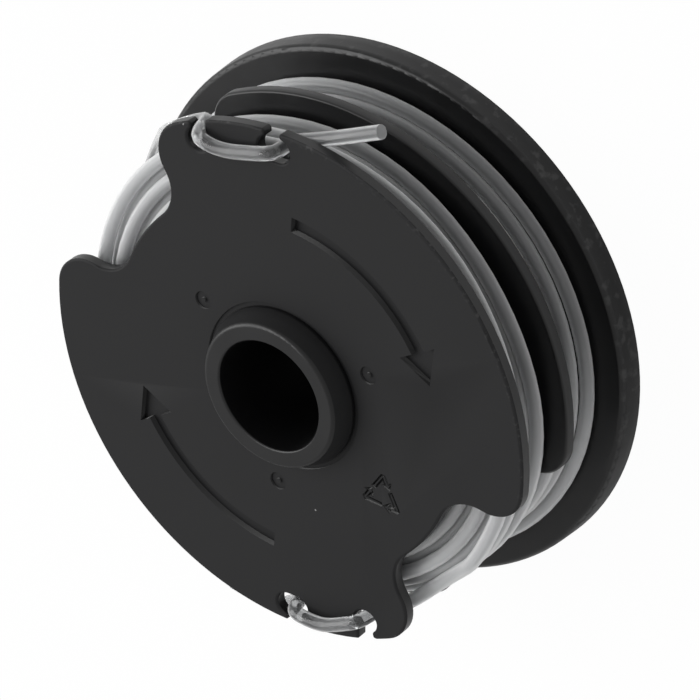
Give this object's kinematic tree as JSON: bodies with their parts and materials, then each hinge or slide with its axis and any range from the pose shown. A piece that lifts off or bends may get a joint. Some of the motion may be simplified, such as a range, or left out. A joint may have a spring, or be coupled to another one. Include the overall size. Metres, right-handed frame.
{
  "type": "trimmer line spool",
  "caption": "Prewound spool for a grass trimmer head: a bored drum with flanges, line wound in its chambers and the line ends parked in keyhole slots beside finger scallops.",
  "frame": {"origin": "centre of the underside of the wide rear flange, on the bore axis", "axes": "+Z along the bore axis from the rear flange to the marked front flange, +Y towards the middle of one finger scallop"},
  "size_m": [0.0832, 0.0784, 0.0291],
  "materials": {
    "moulding": "fine matt texture, black nylon",
    "line": "smooth translucent nylon"
  },
  "bodies": {
    "root": {"spool_body": "moulding", "front_line_coil": "line", "front_line_end": "line", "rear_line_coil": "line", "rear_line_end": "line"}
  },
  "joints": []
}
